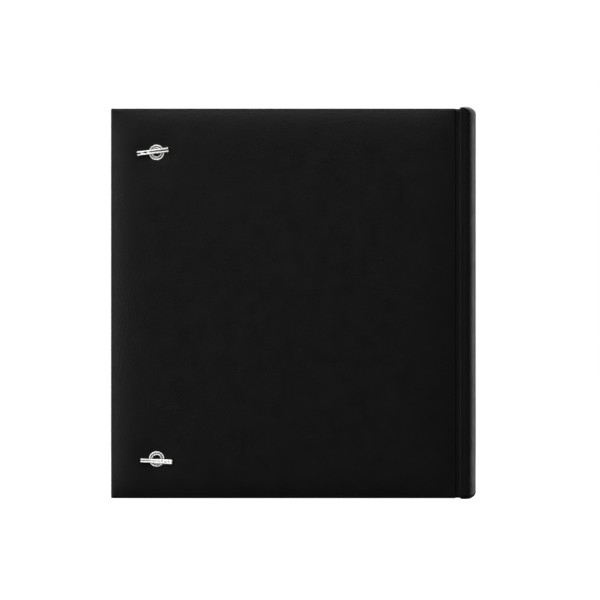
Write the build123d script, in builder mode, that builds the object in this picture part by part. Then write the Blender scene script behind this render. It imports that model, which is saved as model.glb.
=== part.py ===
from build123d import *
import os
from math import asin, cos, degrees, radians, sin

# A padded three-ring binder, closed and standing upright on its bottom edges.
# Millimetres.  +Z is up, the back cover faces -Y, the front cover +Y, and the spine is at +X.
# The drawing is symmetric about the binder's middle plane, y = 0; save() moves every piece
# so that the middle of the whole box, closure ends included, stands on the origin.

# Driving sizes
WIDTH = 273.0  # fore edge to the back of the spine
COVER_HEIGHT = 292.0
HALF_THICK = 25.5  # middle plane to the outer face of a cover
TOP_PROUD = 1.45  # how far the spine's padded ends stand past the covers
BOTTOM_PROUD = 0.75

# Cover layers, from the outside in
SKIN = 0.5
FOAM = 1.6
BOARD = 2.4
LINER = 0.3
CORNER_R = 2.0  # corner of a cover, seen from its face
EDGE_R = 1.5  # rounding round the outer face

# Spine and the two soft hinges beside it
SPINE_DEPTH = 11.5  # how far the spine bulges behind its inner face
SPINE_HALF = 25.2  # a folded-back cover passes beside this with a small gap
GROOVE = 3.0  # between the edge of a cover and the edge of the spine
SHOULDER_R = 6.2  # height of the spine's rounded end corners
SPINE_CROWN = 0.35  # depth at which the ends stand highest, as a share of the spine's depth
CROWN_FALL = 0.6  # how much of that height is gone at the groove, as a share of it
HINGE_STRIP = 0.45
STRIP_GAP = 0.3  # between the hinge strip and the swinging edge of the cover

# Ring mechanism
RING_SPACING = 108.0  # the usual 4 1/4 inch hole spacing
RING_R = 15.0  # to the middle of the wire
WIRE_R = 1.5
RING_FOOT_Y = 9.2  # middle plane to the point where a ring's wire runs straight on to its blade
RING_FOOT_HEIGHT = 4.2  # that point above the spine's inner face
RING_RUN = 6.0  # straight wire beyond it, cut back to the staked end
TIP_GAP = 0.1  # between the closed tips
CONE_R = 1.0
CONE_TIP_R = 0.4
CONE_LENGTH = 1.2
CONE_GAP = 0.1
PLATE_LENGTH = 260.0
PLATE_HALF = 12.2
PLATE_HEIGHT = 6.1  # crown of the plate above the spine's inner face
PLATE_ARCH = 1.0
SHEET = 0.8
LIP = 1.0  # how far the plate's lips reach under the blades
BLADE = 1.0
BLADE_LENGTH = 249.0
BLADE_HEIGHT = 2.7  # pivot edge of a blade above the spine's inner face
BLADE_EDGE = 11.0  # middle plane to the pivot edge
BLADE_GAP = 0.15  # middle plane to the free edge, with the blade flat
BLADE_TILT = 6.5  # degrees that a closed blade leans towards the spine
STAKE = 0.45  # height of the wire's staked end behind its blade
SLOT_HALF = 2.1  # half height of the opening in the plate that a ring moves in
SLOT_INNER = 5.9
SLOT_DEPTH = 3.2  # from the crown, down the plate's side

# Trigger levers at the ends of the mechanism
LEVER_REACH = 127.0  # middle of the mechanism to a lever's pin
LEVER_HEIGHT = 3.0  # pin above the spine's inner face
PIN_R = 0.9
PIN_GAP = 0.08
BARREL_R = 1.5
LEVER_HALF = 7.0
LEVER_SHEET = 1.2
LEVER_STEM = 4.2  # straight part of the lever, out past the end of the plate
TAB_RISE = 7.5
TAB_RUN = 8.3
TAB_CORNER_R = 3.0
TONGUE_HALF = 2.5
TONGUE = 0.5
TONGUE_REACH = 4.0
TONGUE_GAP = 0.2  # between the tongue and the spine
WEB = 1.2

# Rivets that hold the mechanism to the spine
RIVET_SPACING = 108.0
RIVET_R = 1.5
RIVET_HEAD_R = 3.5
RIVET_HEAD = 1.0
CLINCH_R = 3.2
CLINCH = 0.9
POCKET_GAP = 0.3
POST_R = 2.5
POST_GAP = 0.9

# Eyelets and elastic closure on the back cover
EYELET_X = 34.3  # from the fore edge
EYELET_TOP = 32.9  # from the top edge
EYELET_BOTTOM = 29.5  # from the bottom edge
EYELET_BORE_R = 3.0
EYELET_WALL = 0.4
FLANGE_R = 5.85
FLANGE_RISE = 1.2
FLANGE_SHOULDER = 0.6
ROLL_R = 4.4
ROLL = 0.5
WASHER_R = 5.6
WASHER = 0.6
CORD_R = 1.2
CORD_BEND_R = 3.0
CORD_GAP = 0.1
BARB_LENGTH = 23.8
BARB_WIDTH = 3.6
BARB_RISE = 2.5
BARB_GAP = 0.3  # between a barb and the flange it lies over
BARB_CORNER_R = 1.0
BARB_EDGE_R = 0.7
BARB_SLOT = 1.0
BARB_SLOT_DEPTH = 1.5
BARB_SOCKET = 1.5
SOCKET_GAP = 0.08
# Each barb: where the cord leaves its eyelet's centre (x, z), the barb's lean in degrees, its middle
# along its own length and the length of its open seam, both from the cord and measured along the barb.
UPPER_BARB = {"cord": (-0.9, 0.8), "lean": 7.4, "middle": -2.0, "seam": (-14.0, 10.0)}
LOWER_BARB = {"cord": (-0.25, -1.6), "lean": -3.1, "middle": 0.0, "seam": (-12.0, 0.0)}

# Places worked out from the sizes above
FORE_X = -WIDTH / 2
BACK_X = WIDTH / 2
SPINE_X = BACK_X - SPINE_DEPTH
HINGE_X = SPINE_X - GROOVE / 2
COVER_X = SPINE_X - GROOVE
COVER_BOTTOM = BOTTOM_PROUD
COVER_TOP = COVER_BOTTOM + COVER_HEIGHT
SPINE_TOP = COVER_TOP + TOP_PROUD
MIDDLE_Z = (COVER_BOTTOM + COVER_TOP) / 2
COVER_THICK = SKIN + FOAM + BOARD + LINER
RING_END = degrees(asin(RING_FOOT_Y / RING_R))  # the same point as an angle round the ring
RING_X = SPINE_X - RING_FOOT_HEIGHT - RING_R * cos(radians(RING_END))
CROWN_X = SPINE_X - PLATE_HEIGHT
PIVOT_X = SPINE_X - BLADE_HEIGHT
LEVER_X = SPINE_X - LEVER_HEIGHT
BARB_PROUD = FLANGE_RISE + BARB_GAP + BARB_RISE
TO_ORIGIN = Location((0, BARB_PROUD / 2, 0))
FAR = 400.0  # longer than any piece, for cutting tools


def save(piece, label):
    """Put one finished piece in the frame of the whole binder and write it."""
    placed = piece.moved(TO_ORIGIN)
    placed.label = label
    export_step(placed, f"parts/{label}.step")


def eyelet_place(end):
    """Centre of the upper (+1) or lower (-1) eyelet: x and z."""
    z = COVER_TOP - EYELET_TOP if end > 0 else COVER_BOTTOM + EYELET_BOTTOM
    return FORE_X + EYELET_X, z


# ---- Covers ----


def cover_slab(side, inset, outer, inner, edge_r):
    """One layer of a cover: its depths below the outer face, with the edge of its outer face rounded."""
    width = COVER_X - FORE_X - 2 * inset
    with BuildPart() as slab:
        with Locations(((FORE_X + COVER_X) / 2, side * (HALF_THICK - (outer + inner) / 2), MIDDLE_Z)):
            Box(width, inner - outer, COVER_HEIGHT - 2 * inset)
        fillet(slab.edges().filter_by(Axis.Y), CORNER_R - inset)
        if edge_r:
            face = slab.faces().sort_by(Axis.Y)[-1 if side > 0 else 0]
            fillet(face.edges(), edge_r)
    return slab.part


def drill_eyelets():
    """Cut both eyelet holes through the layer being built."""
    for end in (1, -1):
        x, z = eyelet_place(end)
        with Locations(Location((x, -HALF_THICK, z), (90, 0, 0))):
            Cylinder(EYELET_BORE_R + EYELET_WALL, 3 * COVER_THICK, mode=Mode.SUBTRACT)


def cover_layer(side, label, slab, pocket=None):
    with BuildPart() as layer:
        add(slab)
        if pocket:
            add(pocket, mode=Mode.SUBTRACT)
        if side < 0:
            drill_eyelets()
    save(layer.part, label)


def cover(side, name):
    """A board between foam and liner, in a skin that is turned over its four edges."""
    board_top = SKIN + FOAM
    liner_top = board_top + BOARD
    outer_r = EDGE_R - SKIN
    tray = cover_slab(side, 0, 0, COVER_THICK, EDGE_R)
    pocket = cover_slab(side, SKIN, SKIN, COVER_THICK + 1, outer_r)
    cover_layer(side, f"{name}_skin", tray, pocket)
    cover_layer(side, f"{name}_foam", cover_slab(side, SKIN, SKIN, board_top, outer_r))
    cover_layer(side, f"{name}_board", cover_slab(side, SKIN, board_top, liner_top, 0))
    cover_layer(side, f"{name}_liner", cover_slab(side, SKIN, liner_top, COVER_THICK, 0))


# ---- Spine ----


def spine_end(end, inset):
    """Outline points of one end of the spine: its edge at the groove, its crown and its back corner."""
    tip = SPINE_TOP if end > 0 else 0.0
    fall = CROWN_FALL * (TOP_PROUD if end > 0 else BOTTOM_PROUD)
    half = SPINE_CROWN * SPINE_DEPTH
    start = (SPINE_X, tip - end * (fall + inset))
    crown = (SPINE_X + half, tip - end * inset)
    corner = (SPINE_X + 2 * half, tip - end * (fall + inset))
    back = (BACK_X - inset, tip - end * SHOULDER_R)
    return start, crown, corner, back


def spine_bulk(inset):
    """The spine's rounded shape, drawn in from its outer side and from both ends."""
    top = spine_end(1, inset)
    bottom = spine_end(-1, inset)
    with BuildPart() as bulk:
        with BuildSketch(Plane.XY.offset(-1)):
            with Locations((SPINE_X, 0)):
                Ellipse(SPINE_DEPTH - inset, SPINE_HALF - inset)
                Rectangle(FAR, FAR, align=(Align.MAX, Align.CENTER), mode=Mode.SUBTRACT)
        extrude(amount=SPINE_TOP + 2)
        with BuildSketch(Plane.XZ):
            with BuildLine():
                upper = ThreePointArc(top[0], top[1], top[2])
                TangentArc(top[2], top[3], tangent=upper % 1)
                Line(top[3], bottom[3])
                lower = ThreePointArc(bottom[0], bottom[1], bottom[2])
                TangentArc(bottom[2], bottom[3], tangent=lower % 1)
                Polyline(bottom[0], (COVER_X, bottom[0][1]), (COVER_X, top[0][1]), top[0])
            make_face()
        extrude(amount=SPINE_HALF + 1, both=True, mode=Mode.INTERSECT)
    return bulk.part


def spine_slice(core, start, end):
    """The part of the spine's core between two depths behind its inner face."""
    with BuildPart() as piece:
        add(core)
        with Locations((SPINE_X + start, 0, MIDDLE_Z)):
            Box(end - start, FAR, FAR, align=(Align.MIN, Align.CENTER, Align.CENTER), mode=Mode.INTERSECT)
    return piece.part


def rivet_holes(radius):
    """Cut the two rivet holes, along X, through the piece being built."""
    for end in (1, -1):
        with Locations(Location((SPINE_X, 0, MIDDLE_Z + end * RIVET_SPACING / 2), (0, 90, 0))):
            Cylinder(radius, FAR, mode=Mode.SUBTRACT)


def spine():
    core = spine_bulk(SKIN)
    with BuildPart() as skin:
        add(spine_bulk(0))
        add(core, mode=Mode.SUBTRACT)
    save(skin.part, "spine_skin")

    with BuildPart() as liner:
        add(spine_slice(core, 0, LINER))
        rivet_holes(RIVET_R)
    save(liner.part, "spine_liner")

    with BuildPart() as board:
        add(spine_slice(core, LINER, LINER + BOARD))
        rivet_holes(RIVET_R)
    save(board.part, "spine_board")

    with BuildPart() as former:
        add(spine_slice(core, LINER + BOARD, SPINE_DEPTH))
        for end in (1, -1):
            with Locations(
                Location((SPINE_X + LINER + BOARD, 0, MIDDLE_Z + end * RIVET_SPACING / 2), (0, 90, 0))
            ):
                Cylinder(CLINCH_R + POCKET_GAP, 2 * (CLINCH + POCKET_GAP), mode=Mode.SUBTRACT)
    save(former.part, "spine_former")


def hinge_strip(side, label):
    """The skin between spine and cover, a thin trough about the line that the cover turns on."""
    outer_r = GROOVE / 2 - STRIP_GAP
    with BuildPart() as strip:
        with BuildSketch(Plane.XY.offset(COVER_BOTTOM)):
            with Locations((HINGE_X, side * HALF_THICK)):
                Circle(outer_r)
                Circle(outer_r - HINGE_STRIP, mode=Mode.SUBTRACT)
                Rectangle(
                    3 * outer_r,
                    3 * outer_r,
                    align=(Align.CENTER, Align.MIN if side > 0 else Align.MAX),
                    mode=Mode.SUBTRACT,
                )
            with Locations((SPINE_X, side * SPINE_HALF)):
                Rectangle(
                    STRIP_GAP + HINGE_STRIP,
                    2 * HINGE_STRIP,
                    align=(Align.MAX, Align.MAX if side > 0 else Align.MIN),
                )
        extrude(amount=COVER_HEIGHT)
    save(strip.part, label)


# ---- Ring mechanism ----


def plate():
    """The sprung sheet cover: crowned, turned down at the sides and in under the blades."""
    edge_x = CROWN_X + PLATE_ARCH
    inner_half = PLATE_HALF - SHEET
    with BuildPart() as shell:
        with BuildSketch(Plane.XY.offset(MIDDLE_Z - PLATE_LENGTH / 2)):
            with BuildLine():
                ThreePointArc((edge_x, -PLATE_HALF), (CROWN_X, 0), (edge_x, PLATE_HALF))
                Polyline((edge_x, PLATE_HALF), (SPINE_X, PLATE_HALF), (SPINE_X, -PLATE_HALF), (edge_x, -PLATE_HALF))
            make_face()
            with BuildLine():
                under_x = edge_x + SHEET
                lip_x = SPINE_X - SHEET
                ThreePointArc((under_x, -inner_half), (CROWN_X + SHEET, 0), (under_x, inner_half))
                Polyline((under_x, inner_half), (lip_x, inner_half), (lip_x, -inner_half), (under_x, -inner_half))
            make_face(mode=Mode.SUBTRACT)
            with Locations((SPINE_X, 0)):
                Rectangle(3 * SHEET, 2 * (inner_half - LIP), mode=Mode.SUBTRACT)
        extrude(amount=PLATE_LENGTH)
        fillet(shell.edges().filter_by(Axis.Z).group_by(Axis.X)[1], SHEET)
        for z in ring_heights():
            for side in (1, -1):
                with Locations((CROWN_X - 1, side * SLOT_INNER, z)):
                    Box(
                        1 + SLOT_DEPTH,
                        PLATE_HALF,
                        2 * SLOT_HALF,
                        align=(Align.MIN, Align.MIN if side > 0 else Align.MAX, Align.CENTER),
                        mode=Mode.SUBTRACT,
                    )
        for end in (1, -1):
            with Locations(Location((LEVER_X, 0, MIDDLE_Z + end * LEVER_REACH), (90, 0, 0))):
                Cylinder(PIN_R, 3 * PLATE_HALF, mode=Mode.SUBTRACT)
        rivet_holes(RIVET_R)
    save(shell.part, "mechanism_plate")


def ring_heights():
    return [MIDDLE_Z + step * RING_SPACING for step in (-1, 0, 1)]


def ring_half(side, z):
    """Half a ring: its tip at the middle plane, its foot run straight through the blade and staked."""
    first = 180 - degrees(TIP_GAP / 2 / RING_R)
    foot = (RING_X + RING_R * cos(radians(RING_END)), side * RING_R * sin(radians(RING_END)))
    heading = (sin(radians(RING_END)), -side * cos(radians(RING_END)))
    with BuildPart() as half:
        with BuildLine(Plane.XY.offset(z)) as wire:
            CenterArc((RING_X, 0), RING_R, side * first, side * (RING_END - first))
            Line(foot, (foot[0] + RING_RUN * heading[0], foot[1] + RING_RUN * heading[1]))
        with BuildSketch(Plane(origin=wire.line @ 0, z_dir=wire.line % 0)):
            Circle(WIRE_R)
        sweep()
        with Locations(Location((PIVOT_X, side * BLADE_EDGE, z), (0, 0, side * BLADE_TILT))):
            with Locations((BLADE / 2 + STAKE, 0, 0)):
                Box(FAR, FAR, 4 * WIRE_R, align=(Align.MIN, Align.CENTER, Align.CENTER), mode=Mode.SUBTRACT)
        tip_y = TIP_GAP / 2
        if side > 0:
            with Locations(Location((RING_X - RING_R, tip_y - CONE_LENGTH / 2, z), (90, 0, 0))):
                Cone(CONE_R, CONE_TIP_R, CONE_LENGTH)
        else:
            with Locations(Location((RING_X - RING_R, tip_y - (CONE_LENGTH + 2 * CONE_GAP) / 2, z), (90, 0, 0))):
                Cone(
                    CONE_R + CONE_GAP,
                    CONE_TIP_R + CONE_GAP,
                    CONE_LENGTH + 2 * CONE_GAP,
                    mode=Mode.SUBTRACT,
                )
    return half.part


def blade(side, name):
    """A long steel blade that rocks on its outer edge, with three ring halves staked through it."""
    halves = {label: ring_half(side, z) for label, z in zip(("lower", "middle", "upper"), ring_heights())}
    with BuildPart() as strip:
        with BuildSketch(Plane.XY.offset(MIDDLE_Z - BLADE_LENGTH / 2)):
            with Locations((PIVOT_X, side * BLADE_EDGE)):
                Rectangle(
                    BLADE,
                    BLADE_EDGE - BLADE_GAP,
                    rotation=side * BLADE_TILT,
                    align=(Align.CENTER, Align.MAX if side > 0 else Align.MIN),
                )
        extrude(amount=BLADE_LENGTH)
        rivet_holes(POST_R + POST_GAP)
        for half in halves.values():
            add(half, mode=Mode.SUBTRACT)
    save(strip.part, f"{name}_blade")
    for label, half in halves.items():
        save(half, f"{name}_ring_{label}")


def lever(end, name):
    """A trigger: a finger tab outside the plate, a barrel on a pin and a tongue under the blades."""
    pin_z = MIDDLE_Z + end * LEVER_REACH
    tongue_x = SPINE_X - TONGUE_GAP
    tab_top = LEVER_STEM + TAB_RUN + LEVER_SHEET / 2
    with BuildPart() as trigger:
        with BuildSketch(Plane.XZ):
            with BuildLine():
                path = Polyline(
                    (LEVER_X, pin_z),
                    (LEVER_X, pin_z + end * LEVER_STEM),
                    (LEVER_X - TAB_RISE, pin_z + end * (LEVER_STEM + TAB_RUN)),
                )
                offset(path, amount=LEVER_SHEET / 2, side=Side.BOTH, mode=Mode.REPLACE)
            make_face()
        extrude(amount=LEVER_HALF, both=True)
        with BuildSketch(Plane.YZ.offset(LEVER_X)):
            with Locations((0, pin_z)):
                RectangleRounded(2 * LEVER_HALF, 2 * tab_top, TAB_CORNER_R)
        extrude(amount=2 * TAB_RISE, both=True, mode=Mode.INTERSECT)
        with BuildSketch(Plane.XZ):
            with Locations((LEVER_X, pin_z)):
                Circle(BARREL_R)
        extrude(amount=LEVER_HALF, both=True)
        with BuildSketch(Plane.XZ):
            near = pin_z - end * WEB / 2
            with BuildLine():
                Polyline(
                    (LEVER_X, near),
                    (tongue_x, near),
                    (tongue_x, pin_z - end * TONGUE_REACH),
                    (tongue_x - TONGUE, pin_z - end * TONGUE_REACH),
                    (tongue_x - TONGUE, near - end * WEB),
                    (LEVER_X, near - end * WEB),
                    close=True,
                )
            make_face()
        extrude(amount=TONGUE_HALF, both=True)
        with Locations(Location((LEVER_X, 0, pin_z), (90, 0, 0))):
            Cylinder(PIN_R + PIN_GAP, 3 * LEVER_HALF, mode=Mode.SUBTRACT)
    save(trigger.part, f"{name}_lever")

    with BuildPart() as pin:
        with Locations(Location((LEVER_X, 0, pin_z), (90, 0, 0))):
            Cylinder(PIN_R, 2 * PLATE_HALF)
    save(pin.part, f"{name}_lever_pin")


def rivet(end, name):
    """A post that spaces the plate from the spine, and the rivet through it, clinched behind the board."""
    z = MIDDLE_Z + end * RIVET_SPACING / 2
    head_x = CROWN_X
    clinch_x = SPINE_X + LINER + BOARD
    crown_fall = PLATE_ARCH * (POST_R / (PLATE_HALF - SHEET)) ** 2
    with BuildPart() as post:
        with BuildSketch(Plane(origin=(CROWN_X + SHEET + crown_fall, 0, z), z_dir=(1, 0, 0))):
            Circle(POST_R)
            Circle(RIVET_R, mode=Mode.SUBTRACT)
        extrude(amount=PLATE_HEIGHT - SHEET - crown_fall)
    save(post.part, f"{name}_post")

    with BuildPart() as pin:
        with BuildSketch(Plane(origin=(head_x - RIVET_HEAD, 0, z), x_dir=(1, 0, 0), z_dir=(0, 0, 1))):
            shank = clinch_x - head_x + RIVET_HEAD
            with BuildLine():
                ThreePointArc((0, 0), (0.25 * RIVET_HEAD, 0.6 * RIVET_HEAD_R), (RIVET_HEAD, RIVET_HEAD_R))
                Polyline(
                    (RIVET_HEAD, RIVET_HEAD_R),
                    (RIVET_HEAD, RIVET_R),
                    (shank, RIVET_R),
                    (shank, CLINCH_R),
                    (shank + CLINCH, RIVET_R),
                    (shank + CLINCH, 0),
                    (0, 0),
                )
            make_face()
        revolve(axis=Axis((0, 0, z), (1, 0, 0)))
    save(pin.part, f"{name}_rivet")


# ---- Eyelets, elastic cord and its barbs ----


def eyelet(end, name):
    """A rolled metal eyelet through the back cover, its inner end curled over a washer."""
    x, z = eyelet_place(end)
    outer_face = Plane(origin=(x, -HALF_THICK, z), x_dir=(1, 0, 0), z_dir=(0, 0, 1))
    wall_r = EYELET_BORE_R + EYELET_WALL
    washer_top = COVER_THICK + WASHER
    middle_r = (EYELET_BORE_R + FLANGE_R) / 2
    with BuildPart() as ring:
        with BuildSketch(outer_face):
            with BuildLine():
                ThreePointArc((EYELET_BORE_R, -FLANGE_SHOULDER), (middle_r, -FLANGE_RISE), (FLANGE_R, 0))
                Polyline(
                    (FLANGE_R, 0),
                    (wall_r, 0),
                    (wall_r, washer_top),
                    (ROLL_R, washer_top),
                    (ROLL_R, washer_top + ROLL),
                    (EYELET_BORE_R, washer_top + ROLL),
                    (EYELET_BORE_R, -FLANGE_SHOULDER),
                )
            make_face()
        revolve(axis=Axis((x, 0, z), (0, 1, 0)))
    save(ring.part, f"{name}_eyelet")

    with BuildPart() as washer:
        with BuildSketch(outer_face):
            with Locations((wall_r, COVER_THICK)):
                Rectangle(WASHER_R - wall_r, WASHER, align=(Align.MIN, Align.MIN))
        revolve(axis=Axis((x, 0, z), (0, 1, 0)))
    save(washer.part, f"{name}_washer")


def cord_place(end, spec):
    x, z = eyelet_place(end)
    return x + spec["cord"][0], z + spec["cord"][1]


def elastic_cord():
    """Round elastic, taut inside the back cover and turned out through both eyelets into its barbs."""
    barb_y = -HALF_THICK - FLANGE_RISE - BARB_GAP
    outer_y = barb_y - BARB_SOCKET + CORD_GAP
    inner_y = -HALF_THICK + COVER_THICK + WASHER + ROLL + CORD_GAP + CORD_R
    upper_x, upper_z = cord_place(1, UPPER_BARB)
    lower_x, lower_z = cord_place(-1, LOWER_BARB)
    with BuildPart() as cord:
        with BuildLine() as route:
            FilletPolyline(
                (upper_x, outer_y, upper_z),
                (upper_x, inner_y, upper_z),
                (lower_x, inner_y, lower_z),
                (lower_x, outer_y, lower_z),
                radius=CORD_BEND_R,
            )
        with BuildSketch(Plane(origin=route.line @ 0, z_dir=route.line % 0)):
            Circle(CORD_R)
        sweep()
    save(cord.part, "elastic_cord")


def barb(end, spec, name):
    """A folded metal bar on the end of the cord that lies across its eyelet and can't pull through."""
    x, z = cord_place(end, spec)
    lean = radians(spec["lean"])
    seat = Plane(
        origin=(x, -HALF_THICK - FLANGE_RISE - BARB_GAP, z),
        x_dir=(cos(lean), 0, sin(lean)),
        z_dir=(0, -1, 0),
    )
    seam_start, seam_end = spec["seam"]
    with BuildPart() as bar:
        with BuildSketch(seat):
            with Locations((spec["middle"], 0)):
                RectangleRounded(BARB_LENGTH, BARB_WIDTH, BARB_CORNER_R)
        extrude(amount=BARB_RISE)
        fillet(bar.faces().sort_by(Axis.Y)[0].edges(), BARB_EDGE_R)
        with BuildSketch(seat.offset(BARB_RISE)):
            with Locations(((seam_start + seam_end) / 2, 0)):
                Rectangle(seam_end - seam_start, BARB_SLOT)
        extrude(amount=-BARB_SLOT_DEPTH, mode=Mode.SUBTRACT)
        with BuildSketch(seat):
            Circle(CORD_R + SOCKET_GAP)
        extrude(amount=BARB_SOCKET, mode=Mode.SUBTRACT)
    save(bar.part, f"{name}_barb")


os.makedirs("parts", exist_ok=True)
cover(-1, "back_cover")
cover(1, "front_cover")
spine()
hinge_strip(-1, "back_hinge_strip")
hinge_strip(1, "front_hinge_strip")
plate()
blade(1, "front")
blade(-1, "rear")
for end, name in ((1, "upper"), (-1, "lower")):
    lever(end, name)
    rivet(end, name)
    eyelet(end, name)
elastic_cord()
barb(1, UPPER_BARB, "upper")
barb(-1, LOWER_BARB, "lower")
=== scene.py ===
import math

import bmesh
import bpy
import numpy as np
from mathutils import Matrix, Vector, noise


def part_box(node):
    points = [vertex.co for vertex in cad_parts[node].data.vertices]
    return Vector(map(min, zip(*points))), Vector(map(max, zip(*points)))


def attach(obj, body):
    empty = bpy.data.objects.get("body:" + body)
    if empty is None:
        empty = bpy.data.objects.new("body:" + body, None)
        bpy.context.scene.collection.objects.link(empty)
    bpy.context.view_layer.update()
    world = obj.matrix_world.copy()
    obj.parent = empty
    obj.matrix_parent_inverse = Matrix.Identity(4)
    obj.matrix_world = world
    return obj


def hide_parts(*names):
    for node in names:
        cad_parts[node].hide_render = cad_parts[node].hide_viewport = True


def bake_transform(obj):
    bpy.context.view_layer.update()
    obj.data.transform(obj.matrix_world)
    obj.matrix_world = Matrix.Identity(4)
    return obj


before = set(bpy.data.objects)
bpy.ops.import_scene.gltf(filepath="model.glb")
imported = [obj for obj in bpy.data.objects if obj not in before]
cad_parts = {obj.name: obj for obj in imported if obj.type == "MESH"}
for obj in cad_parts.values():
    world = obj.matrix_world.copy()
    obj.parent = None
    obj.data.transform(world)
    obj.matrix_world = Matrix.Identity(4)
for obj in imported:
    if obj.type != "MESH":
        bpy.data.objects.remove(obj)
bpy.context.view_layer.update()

# ---- Camera ----
# It looks square-on at the back cover, from far off, so the binder's depth hardly shows.

MM = 0.001
back_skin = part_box("back_cover_skin")
BACK_FACE = back_skin[0].y / MM  # outer plane of the back cover
LENS = 600.0
SENSOR = 36.0
VIEW_WIDTH = 449.4  # at the back cover
VIEW_MIDDLE_X = 5.15
VIEW_MIDDLE_Z = 149.3

camera_data = bpy.data.cameras.new("binder_camera")
camera_data.lens = LENS
camera_data.sensor_width = SENSOR
camera_data.clip_end = 100
camera = bpy.data.objects.new("binder_camera", camera_data)
bpy.context.scene.collection.objects.link(camera)
camera_distance = VIEW_WIDTH * LENS / SENSOR
camera.location = Vector((VIEW_MIDDLE_X, BACK_FACE - camera_distance, VIEW_MIDDLE_Z)) * MM
camera.rotation_euler = (math.radians(90), 0, 0)
bpy.context.scene.camera = camera
bpy.context.scene.view_settings.view_transform = "Standard"

# ---- Elastic closure cord ----
# Round braided elastic, pulled taut along the inside of the back cover and out through both eyelets.
# Its braid is a polyester sleeve over rubber threads; both ends are crimped into metal bars.

CORD_WIDTH = 2.4
CORD_INNER_Y = -16.3
CORD_OUTER_Y = -26.4
CORD_TURN = 3.0
UPPER_CORD = (-103.1, 260.65)  # where the cord passes through each eyelet: x, z
LOWER_CORD = (-102.45, 28.65)


def new_material(name):
    """A material with its Principled shader, its output and a place to add nodes."""
    material = bpy.data.materials.new(name)
    material.use_nodes = True
    nodes = material.node_tree.nodes
    return material, nodes, material.node_tree.links, nodes["Principled BSDF"]


def object_point(nodes, links, scale):
    """Object coordinates times a scale, so that a pattern keeps its real size."""
    place = nodes.new("ShaderNodeTexCoord")
    mapping = nodes.new("ShaderNodeMapping")
    mapping.inputs["Scale"].default_value = scale
    links.new(place.outputs["Object"], mapping.inputs["Vector"])
    return mapping.outputs["Vector"]


def noise_texture(nodes, links, vector, scale, detail, roughness=0.5):
    texture = nodes.new("ShaderNodeTexNoise")
    texture.inputs["Scale"].default_value = scale
    texture.inputs["Detail"].default_value = detail
    texture.inputs["Roughness"].default_value = roughness
    links.new(vector, texture.inputs["Vector"])
    return texture.outputs["Fac"]


def spread_over(nodes, links, value, low, high):
    """Map a 0..1 pattern to a range of values."""
    ranged = nodes.new("ShaderNodeMapRange")
    ranged.inputs["From Min"].default_value = 0.3
    ranged.inputs["From Max"].default_value = 0.7
    ranged.inputs["To Min"].default_value = low
    ranged.inputs["To Max"].default_value = high
    links.new(value, ranged.inputs["Value"])
    return ranged.outputs["Result"]


def mix_colours(nodes, links, factor, first, second):
    mix = nodes.new("ShaderNodeMix")
    mix.data_type = "RGBA"
    mix.inputs["A"].default_value = (*first, 1)
    mix.inputs["B"].default_value = (*second, 1)
    links.new(factor, mix.inputs["Factor"])
    return mix.outputs["Result"]


def add_bump(nodes, links, shader, height, strength, distance, under=None):
    """A bump on the shader, over another one where under is given."""
    bump = nodes.new("ShaderNodeBump")
    bump.inputs["Strength"].default_value = strength
    bump.inputs["Distance"].default_value = distance
    links.new(height, bump.inputs["Height"])
    if under:
        links.new(under, bump.inputs["Normal"])
    links.new(bump.outputs["Normal"], shader.inputs["Normal"])
    return bump.outputs["Normal"]


def braided_elastic():
    material, nodes, links, shader = new_material("braided_elastic")
    point = object_point(nodes, links, (1, 1, 1))
    braid = []
    for turn in (0.7, -0.7):
        wave = nodes.new("ShaderNodeTexWave")
        wave.bands_direction = "Z"
        wave.inputs["Scale"].default_value = 260
        wave.inputs["Distortion"].default_value = 0.6
        tilt = nodes.new("ShaderNodeMapping")
        tilt.inputs["Rotation"].default_value = (turn, turn, 0)
        links.new(point, tilt.inputs["Vector"])
        links.new(tilt.outputs["Vector"], wave.inputs["Vector"])
        braid.append(wave.outputs["Fac"])
    crossing = nodes.new("ShaderNodeMath")
    crossing.operation = "MAXIMUM"
    links.new(braid[0], crossing.inputs[0])
    links.new(braid[1], crossing.inputs[1])
    colour = mix_colours(nodes, links, crossing.outputs[0], (0.006, 0.006, 0.006), (0.022, 0.022, 0.023))
    links.new(colour, shader.inputs["Base Color"])
    shader.inputs["Roughness"].default_value = 0.75
    shader.inputs["Sheen Weight"].default_value = 0.25
    add_bump(nodes, links, shader, crossing.outputs[0], 0.8, 0.00025)
    return material


def elastic_cord():
    cord_data = bpy.data.curves.new("elastic_closure_cord", "CURVE")
    cord_data.dimensions = "3D"
    cord_data.bevel_depth = CORD_WIDTH / 2 * MM
    cord_data.bevel_resolution = 8
    cord_data.resolution_u = 24
    cord_data.use_fill_caps = True
    (upper_x, upper_z), (lower_x, lower_z) = UPPER_CORD, LOWER_CORD
    route = [
        (upper_x, CORD_OUTER_Y, upper_z),
        (upper_x, CORD_INNER_Y - CORD_TURN, upper_z),
        (upper_x, CORD_INNER_Y, upper_z),
        (upper_x, CORD_INNER_Y, upper_z - CORD_TURN),
        (lower_x, CORD_INNER_Y, lower_z + CORD_TURN),
        (lower_x, CORD_INNER_Y, lower_z),
        (lower_x, CORD_INNER_Y - CORD_TURN, lower_z),
        (lower_x, CORD_OUTER_Y, lower_z),
    ]
    spline = cord_data.splines.new("NURBS")
    spline.points.add(len(route) - 1)
    for place, point in zip(route, spline.points):
        point.co = (*(Vector(place) * MM), 1)
    spline.order_u = 3
    spline.use_endpoint_u = True
    cord = bpy.data.objects.new("elastic_closure_cord", cord_data)
    bpy.context.scene.collection.objects.link(cord)
    cord_data.materials.append(elastic_braid)
    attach(cord, "back_cover")
    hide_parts("elastic_cord")


elastic_braid = braided_elastic()
elastic_cord()

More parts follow.
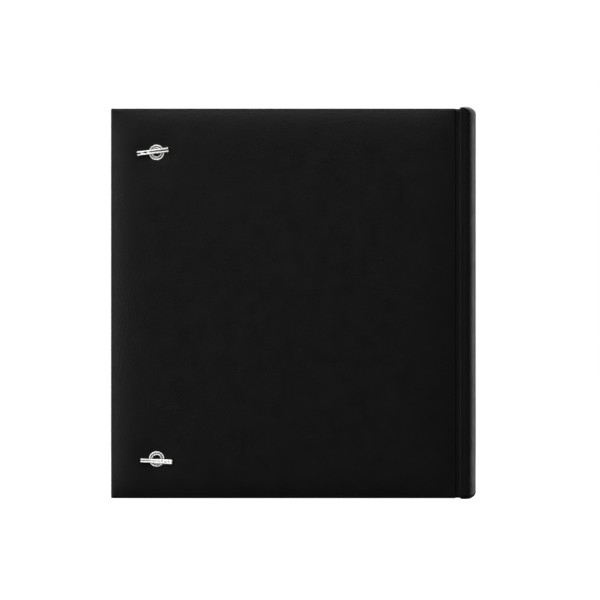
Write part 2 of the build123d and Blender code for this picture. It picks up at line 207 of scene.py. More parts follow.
# ---- Padded covers ----
# Each is a stiff board with a thin foam pad on its outside, wrapped in black leatherette that is
# drawn over the edges, turned in and glued. The pad is thickest away from the edges, which pull it
# down, and it is pinched again where the eyelets clamp it.

FRONT_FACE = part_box("front_cover_skin")[1].y / MM
COVER_LOW = back_skin[0].z / MM
COVER_HIGH = back_skin[1].z / MM
FORE_EDGE = back_skin[0].x / MM
HINGE_EDGE = back_skin[1].x / MM  # the cover's edge beside the groove
COVER_THICK = (back_skin[1].y - back_skin[0].y) / MM
EDGE_ROUND = 1.8
INNER_ROUND = 0.7
EDGE_SINK = 1.35  # how far the pad is drawn down at the edges
PAD_CROWN = 0.8  # how far it stands proud of the nominal face at its fullest
PAD_FADE = 9.5  # how quickly it fills out from the edge
TURN_IN = 14.0
EYELET_PINCH = 0.75
PINCH_SPREAD = 9.0
RIPPLE = 0.05
UPPER_EYELET = (-102.2, 259.85)
LOWER_EYELET = (-102.2, 30.25)


def black_leatherette(name):
    """Near-black coated cloth with an embossed leather grain, satin, and lighter at raised edges: a little
    wear and a painted sheen.
    """
    material, nodes, links, shader = new_material(name)
    point = object_point(nodes, links, (1, 1, 1))
    cloudy = noise_texture(nodes, links, point, 28, 4)
    base = mix_colours(nodes, links, cloudy, (0.0034, 0.0034, 0.0036), (0.0054, 0.0054, 0.0056))
    # pointiness lightens the raised, rounded edges: partly wear, partly a painted sheen standing in for light
    # catching them
    raised = nodes.new("ShaderNodeNewGeometry")
    wear_and_sheen = nodes.new("ShaderNodeMapRange")
    wear_and_sheen.inputs["From Min"].default_value = 0.515
    wear_and_sheen.inputs["From Max"].default_value = 0.6
    wear_and_sheen.inputs["To Max"].default_value = 0.5
    links.new(raised.outputs["Pointiness"], wear_and_sheen.inputs["Value"])
    worn_and_sheened = nodes.new("ShaderNodeMix")
    worn_and_sheened.data_type = "RGBA"
    worn_and_sheened.inputs["B"].default_value = (0.016, 0.016, 0.016, 1)
    links.new(wear_and_sheen.outputs["Result"], worn_and_sheened.inputs["Factor"])
    links.new(base, worn_and_sheened.inputs["A"])
    links.new(worn_and_sheened.outputs["Result"], shader.inputs["Base Color"])
    patchy = noise_texture(nodes, links, point, 90, 5)
    links.new(spread_over(nodes, links, patchy, 0.36, 0.45), shader.inputs["Roughness"])
    shader.inputs["Specular IOR Level"].default_value = 0.18
    pebbles = nodes.new("ShaderNodeTexVoronoi")
    pebbles.feature = "SMOOTH_F1"
    pebbles.inputs["Scale"].default_value = 1150
    pebbles.inputs["Smoothness"].default_value = 0.6
    pebbles.inputs["Randomness"].default_value = 0.9
    links.new(point, pebbles.inputs["Vector"])
    creases = noise_texture(nodes, links, point, 420, 6, 0.6)
    waves = add_bump(nodes, links, shader, creases, 0.35, 0.0004)
    add_bump(nodes, links, shader, pebbles.outputs["Distance"], 0.45, 0.00018, waves)
    return material


def steps_between(start, end, fine, coarse, reach):
    """Stations from start to end, fine near both ends and coarse beyond reach from them."""
    stations = [start]
    while stations[-1] < end - fine / 2:
        near = min(stations[-1] - start, end - stations[-1])
        share = min(1, max(0, near / reach))
        stations.append(stations[-1] + fine + (coarse - fine) * share)
    last = stations[-1]
    return [start + (s - start) * (end - start) / (last - start) for s in stations]


def with_fine_band(stations, middle, half, step):
    """The same stations with an evenly fine band around one place."""
    kept = [s for s in stations if abs(s - middle) > half + step / 2]
    count = round(2 * half / step)
    band = [middle - half + 2 * half * i / count for i in range(count + 1)]
    return sorted(kept + band)


def pad_height(x, z, pinched):
    """Height of the padded face over the nominal outer plane, in mm."""
    fill = 1.0
    for distance in (x - FORE_EDGE, HINGE_EDGE - x, z - COVER_LOW, COVER_HIGH - z):
        fill *= 1 - math.exp(-max(0.0, distance - EDGE_ROUND) / PAD_FADE)
    height = -EDGE_SINK + (EDGE_SINK + PAD_CROWN) * fill
    height += RIPPLE * fill * noise.noise(Vector((x / 38, z / 31, 2.7)))
    height += 0.5 * RIPPLE * fill * noise.noise(Vector((x / 13, z / 15, 8.1)))
    for eyelet_x, eyelet_z in pinched:
        away = math.hypot(x - eyelet_x, z - eyelet_z)
        height -= EYELET_PINCH * math.exp(-((max(0.0, away - 4.0) / PINCH_SPREAD) ** 1.3))
    return height


def mesh_piece(name, vertices, faces, material, smooth=True):
    """A new object from points in millimetres."""
    mesh = bpy.data.meshes.new(name)
    mesh.from_pydata([tuple(c * MM for c in v) for v in vertices], [], faces)
    work = bmesh.new()
    work.from_mesh(mesh)
    bmesh.ops.recalc_face_normals(work, faces=work.faces)
    work.to_mesh(mesh)
    work.free()
    if smooth:
        mesh.shade_smooth()
    mesh.materials.append(material)
    piece = bpy.data.objects.new(name, mesh)
    bpy.context.scene.collection.objects.link(piece)
    return piece


def cut_round_holes(piece, centres, radius):
    """Cut straight holes through a cover, across its thickness."""
    for x, z in centres:
        bpy.ops.mesh.primitive_cylinder_add(vertices=48, radius=radius * MM, depth=0.03)
        cutter = bpy.context.object
        cutter.location = Vector((x, BACK_FACE, z)) * MM
        cutter.rotation_euler = (math.radians(90), 0, 0)
        hole = piece.modifiers.new("eyelet_hole", "BOOLEAN")
        hole.operation = "DIFFERENCE"
        hole.solver = "EXACT"
        hole.object = cutter
        bpy.context.view_layer.update()
        pierced = bpy.data.meshes.new_from_object(piece.evaluated_get(bpy.context.evaluated_depsgraph_get()))
        piece.modifiers.clear()
        piece.data = pierced
        bpy.data.objects.remove(cutter)

    # corners that fell on a hole's edge come out of the cut nearly doubled
    welded = bmesh.new()
    welded.from_mesh(piece.data)
    bmesh.ops.remove_doubles(welded, verts=welded.verts, dist=0.02 * MM)
    welded.to_mesh(piece.data)
    welded.free()


def padded_cover(name, side, pinched, material):
    """The leatherette tray of one cover: padded face, rounded edges and turned-in margins."""
    nominal = BACK_FACE if side < 0 else FRONT_FACE
    low_x, high_x = FORE_EDGE + EDGE_ROUND, HINGE_EDGE - EDGE_ROUND
    low_z, high_z = COVER_LOW + EDGE_ROUND, COVER_HIGH - EDGE_ROUND
    across = steps_between(low_x, high_x, 0.9, 4.5, 30)
    upright = steps_between(low_z, high_z, 0.9, 4.5, 30)
    for eyelet_x, eyelet_z in pinched:
        across = with_fine_band(across, eyelet_x, 11, 0.8)
        upright = with_fine_band(upright, eyelet_z, 11, 0.8)
    columns, rows = len(across), len(upright)

    vertices = [(x, nominal + side * pad_height(x, z, pinched), z) for z in upright for x in across]
    faces = []
    for r in range(rows - 1):
        for c in range(columns - 1):
            corner = r * columns + c
            faces.append((corner, corner + 1, corner + columns + 1, corner + columns))

    # the rim: every edge point of the face with the way out from it, fanned at the four corners
    rim = []
    fan = 5
    runs = [
        ([(c, 0) for c in range(columns)], -90),
        ([(columns - 1, r) for r in range(rows)], 0),
        ([(c, rows - 1) for c in reversed(range(columns))], 90),
        ([(0, r) for r in reversed(range(rows))], 180),
    ]
    for run, way in runs:
        rim += [(r * columns + c, way) for c, r in run[:-1]]
        c, r = run[-1]
        rim += [(r * columns + c, way + 90 * k / fan) for k in range(fan)]

    loops = [[index for index, way in rim]]
    levels = []
    turns = 6
    for k in range(1, turns + 1):
        angle = math.pi / 2 * k / turns
        levels.append((EDGE_ROUND * math.sin(angle), -EDGE_ROUND * (1 - math.cos(angle)), True))
    floor = -COVER_THICK
    for k in range(0, turns + 1):
        angle = math.pi / 2 * k / turns
        outward = EDGE_ROUND - INNER_ROUND * (1 - math.cos(angle))
        levels.append((outward, floor + INNER_ROUND * (1 - math.sin(angle)), False))
    for outward, height, on_face in levels:
        loop = []
        for index, way in rim:
            x, y, z = vertices[index]
            surface = side * (y - nominal) if on_face else 0.0
            bow = 0.0 if on_face else 0.06 * noise.noise(Vector((x / 9, z / 9, 5.5)))
            direction = Vector((math.cos(math.radians(way)), math.sin(math.radians(way))))
            direction /= (abs(direction.x) ** 5 + abs(direction.y) ** 5) ** 0.2  # nearly square corners
            loop.append(len(vertices))
            vertices.append(
                (
                    x + (outward + bow) * direction[0],
                    nominal + side * (surface + height),
                    z + (outward + bow) * direction[1],
                )
            )
        loops.append(loop)
    # the turned-in margin, glued flat on the inside of the board
    middle_x, middle_z = (low_x + high_x) / 2, (low_z + high_z) / 2
    half_x, half_z = (high_x - low_x) / 2, (high_z - low_z) / 2
    margin = {}
    loop = []
    for index, way in rim:
        if index not in margin:
            x, y, z = vertices[index]
            margin[index] = len(vertices)
            inward_x = middle_x + (x - middle_x) * (half_x - TURN_IN) / half_x
            inward_z = middle_z + (z - middle_z) * (half_z - TURN_IN) / half_z
            vertices.append((inward_x, nominal + side * floor, inward_z))
        loop.append(margin[index])
    loops.append(loop)
    for outer, inner in zip(loops, loops[1:]):
        for i in range(len(rim)):
            j = (i + 1) % len(rim)
            face = [outer[i], outer[j], inner[j], inner[i]]
            face = [v for n, v in enumerate(face) if v != face[n - 1]]
            if len(face) > 2:
                faces.append(tuple(face))
    faces.append(tuple(dict.fromkeys(loops[-1])))
    piece = mesh_piece(name, vertices, faces, material)
    if pinched:
        cut_round_holes(piece, pinched, 3.45)
        piece.data.materials.clear()
        piece.data.materials.append(material)
        piece.data.shade_smooth()
    return piece


leatherette = black_leatherette("black_leatherette")
for side, label, pinched in ((-1, "back", [UPPER_EYELET, LOWER_EYELET]), (1, "front", [])):
    cover = padded_cover(f"{label}_padded_cover", side, pinched, leatherette)
    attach(cover, f"{label}_cover")
    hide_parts(f"{label}_cover_skin", f"{label}_cover_foam", f"{label}_cover_board")

# ---- Inner lining panels ----
# Matt embossed vinyl sheets, glued inside both covers and the spine over the turned-in leatherette.
# They stop a few millimetres short of the edges.

LINING_MARGIN = 5.0
LINING_PROUD = 0.3
LINING_ROUND = 3.0


def lining_vinyl():
    material, nodes, links, shader = new_material("lining_vinyl")
    point = object_point(nodes, links, (1, 1, 1))
    cloudy = noise_texture(nodes, links, point, 60, 5)
    colour = mix_colours(nodes, links, cloudy, (0.010, 0.010, 0.011), (0.017, 0.017, 0.018))
    links.new(colour, shader.inputs["Base Color"])
    fine = noise_texture(nodes, links, point, 700, 3, 0.6)
    links.new(spread_over(nodes, links, cloudy, 0.5, 0.62), shader.inputs["Roughness"])
    shader.inputs["Specular IOR Level"].default_value = 0.35
    weave = nodes.new("ShaderNodeTexMagic")
    weave.turbulence_depth = 1
    weave.inputs["Scale"].default_value = 900
    links.new(point, weave.inputs["Vector"])
    under = add_bump(nodes, links, shader, weave.outputs["Fac"], 0.25, 0.0001)
    add_bump(nodes, links, shader, fine, 0.3, 0.0001, under)
    return material


def panel_outline(low, high, radius, corner_points=6):
    """A rounded rectangle as points in its own plane."""
    outline = []
    corners = (
        (high[0] - radius, low[1] + radius, -90),
        (high[0] - radius, high[1] - radius, 0),
        (low[0] + radius, high[1] - radius, 90),
        (low[0] + radius, low[1] + radius, 180),
    )
    for centre_a, centre_b, start in corners:
        for k in range(corner_points + 1):
            angle = math.radians(start + 90 * k / corner_points)
            outline.append((centre_a + radius * math.cos(angle), centre_b + radius * math.sin(angle)))
    return outline


def lining_panel(name, low, high, place, material, holes=()):
    """A thin sheet with softened edges; place(a, b, height) puts its plane in the binder."""
    outline = panel_outline(low, high, LINING_ROUND)
    middle = ((low[0] + high[0]) / 2, (low[1] + high[1]) / 2)
    vertices, faces, count = [], [], len(outline)
    for shrink, height in ((0.0, -0.15), (0.0, 0.6 * LINING_PROUD), (0.25, LINING_PROUD)):
        for a, b in outline:
            a -= math.copysign(shrink, a - middle[0])
            b -= math.copysign(shrink, b - middle[1])
            vertices.append(place(a, b, height))
    for ring in range(2):
        for i in range(count):
            j = (i + 1) % count
            faces.append((ring * count + i, ring * count + j, (ring + 1) * count + j, (ring + 1) * count + i))
    faces.append(tuple(range(count)))
    faces.append(tuple(range(2 * count, 3 * count)))
    panel = mesh_piece(name, vertices, faces, material, smooth=False)
    if holes:
        cut_round_holes(panel, holes, 3.45)
        panel.data.materials.clear()
        panel.data.materials.append(material)
    return panel


def inside_cover(side):
    """How a panel's own plane lies on the inner side of one cover."""
    inner_plane = (BACK_FACE if side < 0 else FRONT_FACE) - side * COVER_THICK

    def place(a, b, height):
        return a, inner_plane - side * height, b

    return place


lining = lining_vinyl()
panel_low = (FORE_EDGE + LINING_MARGIN, COVER_LOW + LINING_MARGIN)
panel_high = (HINGE_EDGE - LINING_MARGIN / 2, COVER_HIGH - LINING_MARGIN)
for side, label, holes in ((-1, "back", [UPPER_EYELET, LOWER_EYELET]), (1, "front", [])):
    panel = lining_panel(f"{label}_cover_lining", panel_low, panel_high, inside_cover(side), lining, holes)
    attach(panel, f"{label}_cover")
    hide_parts(f"{label}_cover_liner")

# ---- Spine ----
# A board with a rounded foam former behind it, wrapped in the same leatherette. The skin is drawn
# over both ends and turned in, so the ends are rounded and stand slightly past the covers.

MIDDLE = (BACK_FACE + FRONT_FACE) / 2
spine_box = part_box("spine_skin")
SPINE_FACE = spine_box[0].x / MM
SPINE_BACK = spine_box[1].x / MM
SPINE_HIGH = spine_box[1].z / MM
SPINE_HALF = (spine_box[1].y - spine_box[0].y) / MM / 2
SPINE_DEPTH = SPINE_BACK - SPINE_FACE
SPINE_CORNER = 0.5  # rounding beside the grooves
END_ROUND_BACK = 4.8
END_ROUND_SIDE = 2.6
END_ROUND_FACE = 0.8
TOP_FALL = 0.8
BOTTOM_FALL = 0.5
BACK_SWELL = 0.8  # how far the padding stands proud along the middle of the back


def spine_section():
    """The spine's outline seen from its end: position, way out and how round its ends are there."""
    outline = []
    back_steps = 56
    first = math.asin(1 - 0.6 * SPINE_CORNER / SPINE_HALF)
    for i in range(back_steps + 1):
        t = -first + 2 * first * i / back_steps
        x = SPINE_FACE + (SPINE_DEPTH + BACK_SWELL) * math.cos(t)
        y = MIDDLE + SPINE_HALF * math.sin(t)
        way = Vector((math.cos(t) / SPINE_DEPTH, math.sin(t) / SPINE_HALF)).normalized()
        outline.append((Vector((x, y)), way, END_ROUND_SIDE + (END_ROUND_BACK - END_ROUND_SIDE) * way.x**2))
    corner_out = SPINE_HALF - 0.25 - SPINE_CORNER

    def face_corner(side):
        """The small rounding beside one groove, from the spine's side round to its face."""
        centre = Vector((SPINE_FACE + SPINE_CORNER, MIDDLE + side * corner_out))
        points = []
        for k in range(7):
            angle = math.radians(90 + 90 * k / 6)
            way = Vector((math.cos(angle), side * math.sin(angle)))
            points.append((centre + SPINE_CORNER * way, way, END_ROUND_FACE + 0.8 * abs(way.y)))
        return points

    back_end_x = outline[-1][0].x
    outline += [p for p in face_corner(1) if p[0].x < back_end_x - 0.1]
    face_steps = 24
    for k in range(1, face_steps):
        y = MIDDLE + corner_out - 2 * corner_out * k / face_steps
        outline.append((Vector((SPINE_FACE, y)), Vector((-1, 0)), END_ROUND_FACE))
    back_start_x = outline[0][0].x
    outline += [p for p in reversed(face_corner(-1)) if p[0].x < back_start_x - 0.1]
    return outline


def end_height(x, end):
    """Height of the spine's end over x: fullest over the middle of its padding."""
    crown = SPINE_FACE + 0.42 * SPINE_DEPTH
    share = min(1.0, abs(x - crown) / (0.42 * SPINE_DEPTH)) ** 2.5
    return SPINE_HIGH - TOP_FALL * share if end > 0 else BOTTOM_FALL * share


def spine_padding(material):
    outline = spine_section()
    count = len(outline)
    vertices, loops = [], []

    def end_rings(end):
        """The rings that close one end, the lowest first."""
        rings = []
        turns = 9
        for k in range(turns + 1):
            angle = math.pi / 2 * k / turns
            ring = []
            for point, way, rounding in outline:
                place = point - way * rounding * (1 - math.cos(angle))
                z = end_height(place.x, end) - end * rounding * (1 - math.sin(angle))
                ring.append((place.x, place.y, z))
            rings.append(ring)
        heart = Vector((SPINE_FACE + 0.38 * SPINE_DEPTH, MIDDLE))
        last = rings[-1]
        for share in (0.72, 0.44, 0.18):
            ring = []
            for x, y, _ in last:
                flat_x = heart.x + (x - heart.x) * share
                flat_y = heart.y + (y - heart.y) * (0.35 + 0.65 * share)
                ring.append((flat_x, flat_y, end_height(flat_x, end)))
            rings.append(ring)
        return rings if end > 0 else rings[::-1]

    walls = []
    for z in steps_between(8.0, SPINE_HIGH - 8.0, 3.0, 6.0, 25):
        ring = []
        for point, way, _ in outline:
            swell = 0.07 * noise.noise(Vector((point.x / 9, point.y / 9, z / 26)))
            ring.append((*(point + way * (swell - 0.05)), z))
        walls.append(ring)
    for ring in end_rings(-1) + walls + end_rings(1):
        loops.append(list(range(len(vertices), len(vertices) + count)))
        vertices.extend(ring)
    faces = []
    for lower, upper in zip(loops, loops[1:]):
        for i in range(count):
            j = (i + 1) % count
            faces.append((lower[i], lower[j], upper[j], upper[i]))
    faces.append(tuple(loops[0]))
    faces.append(tuple(reversed(loops[-1])))
    return mesh_piece("padded_spine", vertices, faces, material)


spine = spine_padding(leatherette)
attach(spine, "spine")
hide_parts("spine_skin", "spine_former", "spine_board")


def on_spine(a, b, height):
    return SPINE_FACE + 0.02 - height * 0.4, a, b


spine_lining = lining_panel(
    "spine_lining",
    (MIDDLE - SPINE_HALF + 2.5, COVER_LOW + LINING_MARGIN),
    (MIDDLE + SPINE_HALF - 2.5, COVER_HIGH - LINING_MARGIN),
    on_spine,
    lining,
)
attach(spine_lining, "spine")
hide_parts("spine_liner")

# ---- Soft hinges ----
# Between spine and cover there is no board, only leatherette glued to the lining. It is pressed down into a
# groove.

HINGE_THICK = 0.5
GROOVE_PATH = [  # from the cover to the spine: distance from the cover's edge, depth under the outer plane
    (-1.6, -2.2),
    (-0.9, -2.15),
    (-0.3, -2.45),
    (0.3, -2.7),
    (1.0, -2.8),
    (1.8, -2.82),
    (2.6, -2.82),
    (3.3, -2.78),
    (3.8, -2.6),
    (4.3, -2.4),
]


def hinge_skin(name, side, material):
    nominal = BACK_FACE if side < 0 else FRONT_FACE
    path = [Vector(p) for p in GROOVE_PATH]
    smooth = []
    for i in range(len(path) - 1):
        before, start, end, after = path[max(i - 1, 0)], path[i], path[i + 1], path[min(i + 2, len(path) - 1)]
        for k in range(4):
            t = k / 4
            smooth.append(
                0.5
                * (
                    2 * start
                    + (end - before) * t
                    + (2 * before - 5 * start + 4 * end - after) * t * t
                    + (3 * start - before - 3 * end + after) * t**3
                )
            )
    smooth.append(path[-1])
    section = smooth + [p + Vector((0, -HINGE_THICK)) for p in reversed(smooth)]
    count = len(section)
    vertices, faces = [], []
    stations = steps_between(COVER_LOW + 0.3, COVER_HIGH - 0.3, 2.0, 4.0, 20)
    for z in stations:
        for p in section:
            dip = 0.08 * noise.noise(Vector((p.x / 5, z / 14, side * 3.0)))
            vertices.append((HINGE_EDGE + p.x, nominal + side * (p.y + dip), z))
    for level in range(len(stations) - 1):
        for i in range(count):
            j = (i + 1) % count
            base = level * count
            faces.append((base + i, base + j, base + count + j, base + count + i))
    faces.append(tuple(range(count)))
    faces.append(tuple(range((len(stations) - 1) * count, len(stations) * count)))
    return mesh_piece(name, vertices, faces, material)


for side, label in ((-1, "back"), (1, "front")):
    hinge = hinge_skin(f"{label}_soft_hinge", side, leatherette)
    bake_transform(hinge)
    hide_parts(f"{label}_hinge_strip")

# ---- Ring mechanism ----
# Stamped and plated steel: a sprung plate, two blades that snap over centre under it, and round rings
# staked into the blades. Levers at both ends open it. It is riveted to the spine board.


def plated_metal(name, colour, roughness, scratch, brushed=False):
    """Bright plating over stamped steel: a cloudy polish, faint waves from the press and fine rub marks."""
    material, nodes, links, shader = new_material(name)
    point = object_point(nodes, links, (1, 1, 1))
    along = object_point(nodes, links, (1, 1, 0.06 if brushed else 0.35))
    marks = noise_texture(nodes, links, along, 420, 4, 0.55)
    cloudy = noise_texture(nodes, links, point, 70, 3)
    waves = noise_texture(nodes, links, point, 110, 2)
    dull = tuple(c * 0.84 for c in colour)
    links.new(mix_colours(nodes, links, cloudy, dull, colour), shader.inputs["Base Color"])
    shader.inputs["Metallic"].default_value = 1.0
    links.new(spread_over(nodes, links, marks, roughness, roughness + 0.08), shader.inputs["Roughness"])
    pressed = add_bump(nodes, links, shader, waves, 0.25, 0.00006)
    add_bump(nodes, links, shader, marks, scratch, 0.00002, pressed)
    return material


def carry_over(material, *nodes):
    """Give CAD pieces that keep their shape a better material."""
    for node in nodes:
        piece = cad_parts[node]
        piece.data.materials.clear()
        piece.data.materials.append(material)


ring_plating = plated_metal("ring_plating", (0.86, 0.85, 0.84), 0.16, 0.15)
plate_plating = plated_metal("plate_plating", (0.86, 0.86, 0.85), 0.3, 0.12)
blade_steel = plated_metal("blade_steel", (0.62, 0.62, 0.61), 0.36, 0.3, brushed=True)
heights = ("lower", "middle", "upper")
carry_over(ring_plating, *[f"{body}_ring_{height}" for body in ("front", "rear") for height in heights])
carry_over(plate_plating, "mechanism_plate", "upper_lever", "lower_lever")
carry_over(plate_plating, "upper_lever_pin", "lower_lever_pin", "upper_rivet", "lower_rivet")
carry_over(blade_steel, "front_blade", "rear_blade", "upper_post", "lower_post")
carry_over(blade_steel, "upper_washer", "lower_washer")

# ---- Eyelets ----
# Nickel-plated brass, drawn in one piece. A rounded outer rim and a smaller inner lip stand either side
# of a shallow groove, and the tail is rolled over a washer on the inside of the cover.

EYELET_PROFILE = [  # radius, height over the cover's outer plane
    (5.85, -0.9),
    (5.85, 0.05),
    (5.84, 0.45),
    (5.76, 0.72),
    (5.58, 0.9),
    (5.35, 0.95),
    (5.12, 0.94),
    (4.92, 0.84),
    (4.72, 0.5),
    (4.64, 0.1),
    (4.52, -0.25),
    (4.35, -0.35),
    (4.18, -0.25),
    (4.06, 0.1),
    (3.95, 0.5),
    (3.78, 0.8),
    (3.55, 0.95),
    (3.32, 0.95),
    (3.12, 0.72),
    (3.02, 0.35),
    (3.0, -0.4),
    (3.0, -5.45),
    (3.08, -5.72),
    (3.3, -5.9),
    (3.7, -5.95),
    (4.1, -5.88),
    (4.36, -5.65),
    (4.38, -5.42),
    (3.42, -5.42),
    (3.42, -0.9),
]


def turned_piece(name, profile, x, z, material, segments=96):
    """A ring turned about an axis that stands square on the back cover."""
    vertices, faces = [], []
    for s in range(segments):
        angle = 2 * math.pi * s / segments
        for radius, height in profile:
            vertices.append((x + radius * math.cos(angle), BACK_FACE - height, z + radius * math.sin(angle)))
    count = len(profile)
    for s in range(segments):
        following = (s + 1) % segments
        for i in range(count):
            j = (i + 1) % count
            faces.append((s * count + i, s * count + j, following * count + j, following * count + i))
    return mesh_piece(name, vertices, faces, material)


nickel = plated_metal("eyelet_nickel", (0.95, 0.94, 0.93), 0.38, 0.1)
for label, (x, z) in (("upper", UPPER_EYELET), ("lower", LOWER_EYELET)):
    eyelet = turned_piece(f"{label}_rolled_eyelet", EYELET_PROFILE, x, z, nickel)
    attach(eyelet, "back_cover")
    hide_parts(f"{label}_eyelet")

# ---- Barbs ----
# Each end of the elastic is crimped in a folded strip of nickelled steel, a small bar that lies across
# its eyelet. The upper one shows its open seam, pinched twice; the lower one's seam is nearly shut and
# its far half is flattened and dimpled by the crimping tool.

BARB_LENGTH = 23.8
BARB_WIDTH = 3.6
BARB_RISE = 2.5
BARB_SEAT = 1.5  # height of its underside over the cover's outer plane
UPPER_BARB = {
    "centre": UPPER_CORD,
    "lean": 7.4,
    "middle": -2.0,
    "seam": [(-12, 0.5), (-9.6, 0.42), (-8.9, 0.08), (-7.2, 0.08), (-6.6, 0.38), (-4.9, 0.36), (-4.3, 0.08)]
    + [(-2.9, 0.08), (-2.0, 0.34), (3.0, 0.38), (12, 0.5)],
    "swell": [(-12, 1.0), (-9.4, 0.98), (-8.1, 0.9), (-6, 0.99), (-3.6, 0.9), (-1, 0.98)]
    + [(8, 0.96), (12, 1.06)],
    "dimples": [],
    "depth": 1.5,
}
LOWER_BARB = {
    "centre": LOWER_CORD,
    "lean": -3.1,
    "middle": 0.0,
    "seam": [(-12, 0.22), (-9, 0.2), (-4, 0.15), (-1.0, 0.1), (0.5, 0.03), (12, 0.02)],
    "swell": [(-12, 0.84), (-6, 0.8), (-1, 0.88), (2.0, 1.0), (4.5, 0.97), (8, 1.02), (12, 1.0)],
    "dimples": [(2.4, -0.35), (4.6, 0.55), (6.9, -0.3), (9.6, 0.3)],
    "depth": 1.1,
}


def along_table(table, place):
    """A smoothly interpolated value along the bar."""
    places, values = zip(*table)
    return float(np.interp(place, places, values))


def barb_mesh(name, spec, material, core):
    """A folded bar, lofted from sections that each run round the outside and down into the seam."""
    lean = math.radians(spec["lean"])
    centre_x, centre_z = spec["centre"]
    vertices, faces = [], []
    stations = np.linspace(-BARB_LENGTH / 2, BARB_LENGTH / 2, 120)
    half_wide = BARB_WIDTH / 2

    def section(u):
        """Points (across, up) from one lip of the seam round the bar to the other."""
        gap = along_table(spec["seam"], u)
        swell = along_table(spec["swell"], u)
        end_share = (BARB_LENGTH / 2 - abs(u)) / 0.8
        taper = 1.0 if end_share >= 1 else 0.82 + 0.18 * math.sqrt(max(0.0, 1 - (1 - end_share) ** 2))
        wide = half_wide * swell * taper
        rise = BARB_RISE * (0.5 + 0.5 * taper)
        open_share = min(1.0, gap / 0.25)
        lip = 0.14 + 0.48 * open_share
        rail_middle = (wide + gap) / 2
        rail_half = (wide - gap) / 2
        points = []
        for k in range(9):
            angle = math.pi * (1 - k / 8)
            points.append((rail_middle + rail_half * math.cos(angle), rise - lip + lip * math.sin(angle)))
        for k in range(1, 6):
            angle = -math.pi / 2 * k / 5
            points.append((wide - 0.6 + 0.6 * math.cos(angle), 0.6 + 0.6 * math.sin(angle)))
        mirrored = [(-a, b) for a, b in reversed(points)]
        floor = rise - 0.1 - spec["depth"] * open_share
        points += mirrored
        points += [(-gap, floor + 0.15), (-gap * 0.5, floor), (gap * 0.5, floor), (gap, floor + 0.15)]
        return points

    for u in stations:
        crown_fall = 0.5 * (1 - min(1.0, along_table(spec["seam"], u) / 0.25))
        for across, up in section(u):
            dent = 0.0
            for place, off in spec["dimples"]:
                away = math.hypot(u - place, across - off)
                dent += 1.0 * math.exp(-((away / 0.46) ** 2))
            if up > 1.0:
                up -= dent + crown_fall * (across / half_wide) ** 2
            v = u + spec["middle"]
            x = centre_x + v * math.cos(lean) - across * math.sin(lean)
            z = centre_z + v * math.sin(lean) + across * math.cos(lean)
            vertices.append((x, BACK_FACE - BARB_SEAT - up, z))
    count = len(vertices) // len(stations)
    for s in range(len(stations) - 1):
        for i in range(count):
            j = (i + 1) % count
            faces.append((s * count + i, s * count + j, (s + 1) * count + j, (s + 1) * count + i))
    faces.append(tuple(range(count)))
    last = (len(stations) - 1) * count
    faces.append(tuple(range(last, last + count)))
    bar = mesh_piece(name, vertices, faces, material)
    bar.data.materials.append(core)
    # painted shade: the seam faces take the black elastic braid, which is the crimped elastic itself and also
    # stands in for the shade down in the slot
    seam_faces = 5  # the last faces of each section line the seam, where the elastic shows
    for face in bar.data.polygons[: (len(stations) - 1) * count]:
        if face.index % count >= count - seam_faces:
            face.material_index = 1
    return bar


barb_metal = plated_metal("barb_nickel", (0.95, 0.94, 0.93), 0.4, 0.15)
for label, spec in (("upper", UPPER_BARB), ("lower", LOWER_BARB)):
    bar = barb_mesh(f"{label}_crimped_barb", spec, barb_metal, elastic_braid)
    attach(bar, f"{label}_barb")
    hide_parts(f"{label}_barb")

# ---- Studio ----
# A pale paper sweep all round closes the view and throws no light back on the binder. Soft boxes overhead,
# at the sides and behind leave the black faces dark while their padded edges catch light.


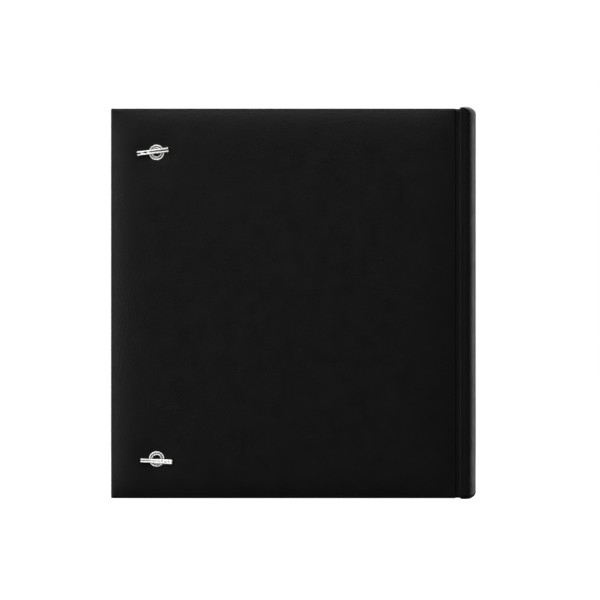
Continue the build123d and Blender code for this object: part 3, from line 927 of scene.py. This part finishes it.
def studio_sweep():
    material, nodes, links, shader = new_material("studio_paper")
    tone = noise_texture(nodes, links, object_point(nodes, links, (1, 1, 1)), 3, 2)
    paper = mix_colours(nodes, links, tone, (0.33, 0.33, 0.33), (0.36, 0.36, 0.36))
    links.new(paper, shader.inputs["Base Color"])
    shader.inputs["Roughness"].default_value = 0.9
    shader.inputs["Specular IOR Level"].default_value = 0.1
    shader.inputs["Emission Color"].default_value = (1, 1, 1, 1)
    shader.inputs["Emission Strength"].default_value = 1.0
    reach, height, bend, turns = 12.6, 8.0, 1.2, 72
    profile = [(0.4, 0.0), (2.0, 0.0), (reach - bend, 0.0)]
    for k in range(1, 17):
        angle = math.pi / 2 * k / 16
        profile.append((reach - bend + bend * math.sin(angle), bend * (1 - math.cos(angle))))
    profile.append((reach, height))
    vertices, faces = [], []
    for turn in range(turns):
        angle = 2 * math.pi * turn / turns
        vertices += [(away * math.cos(angle), away * math.sin(angle), z) for away, z in profile]
        for i in range(len(profile) - 1):
            corner = turn * len(profile) + i
            across = (turn + 1) % turns * len(profile) + i
            faces.append((corner, corner + 1, across + 1, across))
    faces.append(tuple(turn * len(profile) for turn in range(turns)))
    mesh = bpy.data.meshes.new("studio_sweep")
    mesh.from_pydata(vertices, [], faces)
    mesh.shade_smooth()
    mesh.materials.append(material)
    sweep = bpy.data.objects.new("studio_sweep", mesh)
    sweep.visible_diffuse = False
    sweep.visible_glossy = False
    sweep.visible_shadow = False
    bpy.context.scene.collection.objects.link(sweep)


def soft_box(name, azimuth, elevation, distance, size, radiance):
    """A soft box facing the binder; azimuth 0 is in front of the back cover, 90 beyond the spine."""
    data = bpy.data.lights.new(name, "AREA")
    data.shape = "RECTANGLE"
    data.size, data.size_y = size
    data.energy = radiance * math.pi * size[0] * size[1]
    light = bpy.data.objects.new(name, data)
    turn, rise = math.radians(azimuth), math.radians(elevation)
    aim = Vector((0, 0, 0.15))
    away = Vector((math.sin(turn) * math.cos(rise), -math.cos(turn) * math.cos(rise), math.sin(rise)))
    light.location = aim + distance * away
    light.rotation_euler = away.to_track_quat("Z", "Y").to_euler()
    light.visible_camera = False
    bpy.context.scene.collection.objects.link(light)
    return light


studio_sweep()
soft_box("overhead_box", 0, 42, 2.0, (2.4, 1.0), 3.2)
soft_box("left_box", -37, 6, 2.0, (1.0, 1.6), 3.0)
soft_box("right_fill", 68, 8, 2.0, (1.4, 1.6), 0.45)
soft_box("spine_box", 142, 8, 2.1, (0.7, 1.6), 1.5)
soft_box("far_box", 184, 38, 2.0, (2.4, 1.0), 4.0)
soft_box("far_side_box", 226, 8, 2.0, (1.0, 1.6), 3.5)
soft_box("fore_edge_box", 272, 16, 2.0, (1.0, 1.2), 2.5)

# a card below the floor's level that lights the eyelets and barbs alone, so their undersides stay bright
fittings = bpy.data.collections.new("bright_fittings")
for fitting in ("upper_rolled_eyelet", "lower_rolled_eyelet", "upper_crimped_barb", "lower_crimped_barb"):
    fittings.objects.link(bpy.data.objects[fitting])
low_card = soft_box("low_card", -6, -34, 2.0, (2.4, 1.2), 2.0)
low_card.light_linking.receiver_collection = fittings

world = bpy.data.worlds.new("studio_room")
world.use_nodes = True
world.node_tree.nodes["Background"].inputs["Color"].default_value = (1, 1, 1, 1)
world.node_tree.nodes["Background"].inputs["Strength"].default_value = 0.05
bpy.context.scene.world = world
